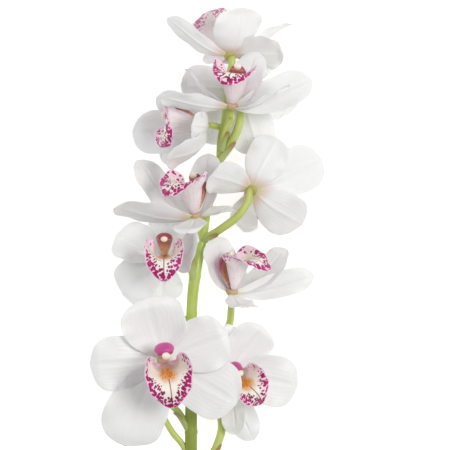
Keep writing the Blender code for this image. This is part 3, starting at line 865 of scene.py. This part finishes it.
def cap_surface():
    """The anther cap: cream with a faint flush."""
    made, t, shader = surface("anther_cream", (0.9, 0.85, 0.7), 0.35)
    skin = t.read("skin")
    t.put(shader.inputs["Base Color"], t.mix(grain(t, skin, 500.0), CAP_CREAM, CAP_FLUSH))
    let_light_in(shader, 0.2, 0.0008)
    bumped(t, shader, grain(t, skin, 900.0), 0.2, 0.0003)
    return made


# Stem, pedicels and bracts

STEM_SHADE = (0.25, 0.37, 0.03)
STEM_LIT = (0.5, 0.6, 0.1)
STEM_CLOUD = (0.5, 0.6, 0.16)
# painted highlight: lighter colour for the upper stem, where light falls on it
STEM_PAINTED_LIGHT = (0.62, 0.7, 0.26)
# painted shade: darker colour for the lower stem, in the blooms' shadow
STEM_PAINTED_SHADE = (0.2, 0.24, 0.03)
PEDICEL_SHADE = (0.4, 0.5, 0.09)
PEDICEL_LIT = (0.62, 0.66, 0.22)
# painted shadow: the darker colour at a pedicel's end, under its bloom
PEDICEL_PAINTED_SHADOW = (0.36, 0.33, 0.03)
BRACT_FOOT = (0.42, 0.5, 0.18)
BRACT_TIP = (0.36, 0.22, 0.08)
CUT_PALE = (0.78, 0.82, 0.55)
KIND_STEM, KIND_PEDICEL, KIND_BRACT, KIND_CUT = 0.0, 1.0, 2.0, 3.0
STREAK_STRETCH = (45.0, 900.0, 5.0)  # long along the stem and narrow round it


def stem_surface():
    """Green skin: streaks along the stem, a painted highlight on the upper stem, painted shade on the lower
    stem, paler pedicels with painted shadow at their ends, browner bract tips and a pale cut end.
    """
    made, t, shader = surface("stem_green", (0.35, 0.48, 0.12), 0.42)
    place = t.split(t.read("place"))
    s, kind = place[0], place[2]
    skin = t.read("skin")
    run = t.split(skin)[0]
    stretch = t.node("ShaderNodeVectorMath", operation="MULTIPLY")
    t.put(stretch.inputs[0], skin)
    stretch.inputs[1].default_value = STREAK_STRETCH
    streak = t.noise(stretch.outputs[0], 1.0, 4.0, 0.6)
    main = t.mix(streak, STEM_SHADE, STEM_LIT)
    main = t.mix(t.band(grain(t, skin, 60.0, 3.0), 0.35, 0.75, 0.0, 0.5), main, STEM_CLOUD)
    # painted highlight: the upper stem is made lighter, where light falls on it
    main = t.mix(t.band(run, 0.25, 0.33, 0.0, 0.4), main, STEM_PAINTED_LIGHT)
    # painted shade: the lower stem is made darker, in the shadow of the blooms above it
    main = t.mix(t.band(run, 0.27, 0.15, 0.0, 0.7), main, STEM_PAINTED_SHADE)
    pale = t.mix(streak, PEDICEL_SHADE, PEDICEL_LIT)
    # painted shadow: each pedicel darkens towards its end, where its bloom shades it
    pale = t.mix(t.band(s, 0.75, 1.0, 0.0, 0.75), pale, PEDICEL_PAINTED_SHADOW)
    bract = t.mix(t.band(s, 0.3, 1.0), BRACT_FOOT, BRACT_TIP)
    colour = t.mix(t.band(kind, 0.2, 0.8), main, pale)
    colour = t.mix(t.band(kind, 1.2, 1.8), colour, bract)
    t.put(shader.inputs["Base Color"], t.mix(t.band(kind, 2.5, 2.9), colour, CUT_PALE))
    let_light_in(shader, 0.08, 0.001)
    shader.inputs["Coat Weight"].default_value = 0.08
    height = t.math("ADD", streak, t.product(grain(t, skin, 800.0), 0.3))
    bumped(t, shader, height, 0.25, 0.0005)
    return made


PETAL = petal_surface()
LIP = lip_surface()
COLUMN = column_surface()
CAP = cap_surface()
STEM = stem_surface()

# Blooms


def even_table(values, count):
    """Values spaced evenly along a piece, read at count places with a smooth curve through them."""
    table = list(zip(np.linspace(0, 1, len(values)), values))
    return along_table(table, np.linspace(0, 1, count))


def raised(path, count, hub, axes, size):
    """World points of a path that is given up from the bloom's axis and forward from its disc."""
    face = axes[2]
    places = [hub + (axes[1] * v * size + face * (w * size + SEAT)) * UNIT for v, w in path]
    return smooth_path(places, count)


DISC_DEPTHS = (-1.0, -0.8, -0.3, 0.5, 1.0)  # places through the disc, as shares of its half depth
DISC_SHARES = (0.55, 0.75, 0.98, 1.0, 0.8)  # its radius there, as shares of the widest
DISC_ROWS = 10
DISC_SIDES = 20
DISC_KIND = 2.0
COLUMN_ROWS, COLUMN_SIDES = 26, 24
COLUMN_SQUARE = (1.1, 0.72)  # its radius across and upwards, as shares
COLUMN_HOLLOW = 0.55  # share of its lower half that is hollowed out
BROWN_TONE, ROSE_TONE = 0.9, 0.2
CAP_ROWS, CAP_SIDES = 14, 20
CAP_SQUARE = (1.0, 0.85)
CAP_RIB = 0.04
CAP_TIP = 0.5  # share of the radius left at its rounded end


def build_petals(name, hub, axes, tepals):
    """Three sepals and two petals on the disc where they meet."""
    skin = Skin()
    face = axes[2]
    disc = [hub + face * share * HUB_DEEP * UNIT for share in DISC_DEPTHS]
    half = [HUB_ACROSS * UNIT * share for share in DISC_SHARES]
    shares = np.linspace(0, 1, len(half))
    radii = np.interp(np.linspace(0, 1, DISC_ROWS), shares, half)
    add_tube(skin, smooth_path(disc, DISC_ROWS), radii, DISC_SIDES, up=axes[1], kind=DISC_KIND, tone=0.1)
    for tip, width, arch, sway, roll, cup in tepals:
        tip = spot(tip)
        out = tip - hub
        base = hub + unit(out - face * np.dot(out, face)) * FOOT_OUT * UNIT - face * FOOT_BACK * UNIT
        grid, thick = tepal_grid(base, tip, face, width * UNIT, arch, sway, roll, cup)
        add_sheet(skin, grid, thick, thick, chance.uniform(), inner_top=0.0)
    skin.build(name + "_petals", PETAL, name + "_tepals")


def build_lip(name, hub, axes, size):
    """The spotted lip."""
    skin = Skin()
    grid, over, under = lip_grid(hub, axes, size)
    add_sheet(skin, grid, over, under, chance.uniform())
    skin.build(name + "_lip_dressed", LIP, name + "_lip")


def build_column(name, hub, axes, size):
    """The column over the lip, hollow underneath."""
    skin = Skin()
    radii = even_table(COLUMN_HALF, COLUMN_ROWS) * size * UNIT
    tone = BROWN_TONE if name in BROWN_COLUMNS else ROSE_TONE
    path = raised(COLUMN_PATH, COLUMN_ROWS, hub, axes, size)
    add_tube(skin, path, radii, COLUMN_SIDES, COLUMN_SQUARE, axes[1], tone=tone, hollow=COLUMN_HOLLOW)
    skin.build(name + "_column_dressed", COLUMN, name + "_column")


def build_cap(name, hub, axes, size):
    """The anther cap at the column's end."""
    skin = Skin()
    radii = even_table(CAP_HALF, CAP_ROWS) * size * UNIT
    radii[-1] *= CAP_TIP
    path = raised(CAP_PATH, CAP_ROWS, hub, axes, size)
    tone = chance.uniform()
    add_tube(skin, path, radii, CAP_SIDES, CAP_SQUARE, axes[1], rib=CAP_RIB, ribs=2, tone=tone)
    skin.build(name + "_anther_dressed", CAP, name + "_anther_cap")


def build_bloom(name, place, face, up, size, tepals):
    """The dressed sepals and petals, lip, column and anther cap of one bloom."""
    axes = frame_of(face, up)
    hub = spot(place)
    build_petals(name, hub, axes, tepals)
    build_lip(name, hub, axes, size)
    build_column(name, hub, axes, size)
    build_cap(name, hub, axes, size)


def hub_point(name):
    """Where the pedicel of a bloom ends, just behind its hub, and a point further back."""
    for label, place, face, up, _, _ in BLOOMS:
        if label == name:
            face = frame_of(face, up)[2]
            hub = spot(place)
            return hub - face * SEAT * UNIT, hub - face * (SEAT + PEDICEL_LEAD) * UNIT


# Bracts

BRACT_LONG = 0.3  # share of the pedicel that a bract covers
BRACT_LEAN = 0.8  # how far it turns to the pedicel's outer side
BRACT_CURL = 0.5  # how far its tip stands off
BRACT_HALF_THICK = 0.00016  # metres
BRACT_WRAP = 1.5  # radians that its foot goes round to each side


def add_bract(skin, line, reach, spread, tone):
    """A thin pointed bract that hugs the foot of a pedicel and ends in a free tip."""
    share = np.linspace(0, BRACT_LONG, BRACT_ROWS)
    along = np.linspace(0, 1, len(line))
    path = np.stack([np.interp(share, along, line[:, k]) for k in range(3)], axis=1)
    ahead = np.gradient(path, axis=0)
    ahead /= np.linalg.norm(ahead, axis=1, keepdims=True)
    outer = np.array((0.0, 0.0, 1.0)) + np.array((spread, 0.0, 0.0))
    outer = outer - ahead * (ahead @ outer)[:, None]
    outer /= np.linalg.norm(outer, axis=1, keepdims=True)
    side = np.cross(ahead, outer)
    t = np.linspace(0, 1, BRACT_ROWS)
    wide = BRACT_WRAP * (1 - t) ** 0.55 * (1 - 0.25 * t) + 0.03
    turn = wide[:, None] * np.linspace(-1, 1, BRACT_COLS)[None, :]
    away = reach * (1.12 + BRACT_CURL * t**3)
    grid = path[:, None, :] + away[:, None, None] * (
        np.cos(turn)[..., None] * outer[:, None, :] + np.sin(turn)[..., None] * side[:, None, :]
    )
    thick = np.full((BRACT_ROWS, BRACT_COLS), BRACT_HALF_THICK)
    add_sheet(skin, grid, thick, thick, tone)
    skin.place[-1][:, 2] = KIND_BRACT


def build_bracts():
    """The papery bracts where the pedicels leave the stem."""
    skin = Skin()
    for name, places, half in PEDICELS:
        end, before = hub_point(name)
        line = smooth_path([spot(p) for p in places] + [before, end], LINE_ROWS)
        lean = BRACT_LEAN if places[-1][0] > places[0][0] else -BRACT_LEAN
        add_bract(skin, line, half * 1.1 * UNIT, lean, chance.uniform())
    skin.build("bracts", STEM, None)


# Stem

NODE_SWELL = 0.1  # how far a ring stands out, as a share of the stem's radius
NODE_LONG = 2.2  # units
STEM_RIB, STEM_RIBS = 0.012, 9
STEM_SIDES = 28
STEM_ENDS = (3.4, 2.6)  # units, half widths of the stem's last two points
PEDICEL_RIB = 0.03
PEDICEL_SIDES = 24
PEDICEL_SWELL = 0.25  # how far a pedicel swells at its middle
PEDICEL_TAPER = 0.2  # how far it thins to its end
SPENT_SIDES = 20
CUT_STEPS = (-0.2, 0.0, 0.12, 0.14)  # places of the pale end's rings, in steps past the stem's first point
CUT_SHARES = (0.9, 0.9, 0.86, 0.5)  # their radii, as shares of the stem's
SPENT_HALF = (3.0, 3.0, 3.2, 3.0, 2.4, 0.8)


def build_stem():
    """The main stem with its node rings and cut end, and the pedicels that leave it."""
    skin = Skin()
    end, before = hub_point("bloom_08")
    path = smooth_path([spot(p) for p in STEM_PATH] + [before, end], STEM_ROWS)
    radii = even_table([r * UNIT for r in STEM_HALF + STEM_ENDS], STEM_ROWS)
    for height in NODE_HEIGHTS:
        from_ring = (path[:, 1] - spot((0, height, 0))[1]) / (NODE_LONG * UNIT)
        radii = radii * (1 + NODE_SWELL * np.exp(-(from_ring**2)))
    path[:, 2] = np.maximum(path[:, 2], radii * (1 + STEM_RIB))
    add_tube(skin, path, radii, STEM_SIDES, rib=STEM_RIB, ribs=STEM_RIBS, kind=KIND_STEM, tone=0.3)
    cut = [path[0] + (path[0] - path[1]) * step for step in CUT_STEPS]
    add_tube(skin, cut, [radii[0] * share for share in CUT_SHARES], STEM_SIDES, kind=KIND_CUT, tone=0.5)
    s = np.linspace(0, 1, PEDICEL_ROWS)
    for name, places, half in PEDICELS:
        end, before = hub_point(name)
        route = smooth_path([spot(p) for p in places] + [before, end], PEDICEL_ROWS)
        radii = half * UNIT * (1 + PEDICEL_SWELL * np.sin(math.pi * s) - PEDICEL_TAPER * s)
        tone = chance.uniform()
        add_tube(skin, route, radii, PEDICEL_SIDES, rib=PEDICEL_RIB, kind=KIND_PEDICEL, tone=tone)
    route = smooth_path([spot(p) for p in SPENT_PEDICEL], SPENT_ROWS)
    radii = even_table(SPENT_HALF, SPENT_ROWS) * UNIT
    add_tube(skin, route, radii, SPENT_SIDES, rib=PEDICEL_RIB, kind=KIND_PEDICEL, tone=0.7)
    skin.build("stem_dressed", STEM, "stem")


for bloom in BLOOMS:
    build_bloom(*bloom)
build_stem()
build_bracts()

# Floor, light and camera

FLOOR_REACH = 4  # metres from its middle to each side
FLOOR_GLOW = 0.36  # keeps the pale floor near white
FLOOR_SHADE = (0.93, 0.93, 0.93)
FLOOR_LIT = (0.95, 0.95, 0.95)
WORLD_LIGHT = 0.34
VIEW_ACROSS = 450  # units that the view takes in
VIEW_MIDDLE = VIEW_ACROSS / 2
CAMERA_HEIGHT = 2.6  # metres over the upper stem's axis
CAMERA_SENSOR = 36  # millimetres
CAMERA_SIGHT = 20  # metres
EXPOSURE = 0.35


def build_floor():
    """A plain pale floor with a faint speckle."""
    corners = [(x * FLOOR_REACH, y * FLOOR_REACH, 0) for x, y in ((-1, -1), (1, -1), (1, 1), (-1, 1))]
    mesh = bpy.data.meshes.new("floor")
    mesh.from_pydata(corners, [], [(0, 1, 2, 3)])
    made = bpy.data.objects.new("floor", mesh)
    bpy.context.scene.collection.objects.link(made)
    paper, t, shader = surface("floor_paper", (0.9, 0.9, 0.9), 0.9)
    shader.inputs["Emission Color"].default_value = (1.0, 1.0, 1.0, 1.0)
    shader.inputs["Emission Strength"].default_value = FLOOR_GLOW
    speck = grain(t, t.node("ShaderNodeTexCoord").outputs["Object"], 40.0)
    t.put(shader.inputs["Base Color"], t.mix(speck, FLOOR_SHADE, FLOOR_LIT))
    shader.inputs["Specular IOR Level"].default_value = 0.1
    mesh.materials.append(paper)
    return made


def lamp(name, place, aim, size, power, colour):
    """A soft square light."""
    data = bpy.data.lights.new(name, "AREA")
    data.size = size
    data.energy = power
    data.color = colour
    made = bpy.data.objects.new(name, data)
    made.location = place
    bpy.context.scene.collection.objects.link(made)
    made.rotation_euler = (Vector(aim) - Vector(place)).to_track_quat("-Z", "Y").to_euler()
    return made


stage = [
    build_floor(),
    lamp("key", (0.9, 0.35, 1.75), (0, 0.05, 0.05), 0.8, 15.5, (1.0, 0.99, 0.97)),
    lamp("fill", (-1.3, 1.0, 1.3), (0, 0, 0.05), 1.4, 6, (0.97, 0.98, 1.0)),
]
world = bpy.data.worlds.new("studio")
bpy.context.scene.world = world
world.use_nodes = True
back = world.node_tree.nodes["Background"]
back.inputs[0].default_value = (1.0, 1.0, 1.0, 1.0)
back.inputs[1].default_value = WORLD_LIGHT

camera_data = bpy.data.cameras.new("camera")
camera = bpy.data.objects.new("camera", camera_data)
bpy.context.scene.collection.objects.link(camera)
bpy.context.scene.camera = camera
camera.location = (
    (VIEW_MIDDLE - MIDDLE_X) * UNIT,
    (MIDDLE_Y - VIEW_MIDDLE) * UNIT,
    CAMERA_HEIGHT + STEM_HEIGHT * UNIT,
)
camera.rotation_euler = (0, 0, 0)
camera_data.sensor_width = CAMERA_SENSOR
camera_data.lens = CAMERA_SENSOR * CAMERA_HEIGHT / (VIEW_ACROSS * UNIT)
camera_data.clip_end = CAMERA_SIGHT
scene = bpy.context.scene
scene.view_settings.view_transform = "Standard"
scene.view_settings.exposure = EXPOSURE
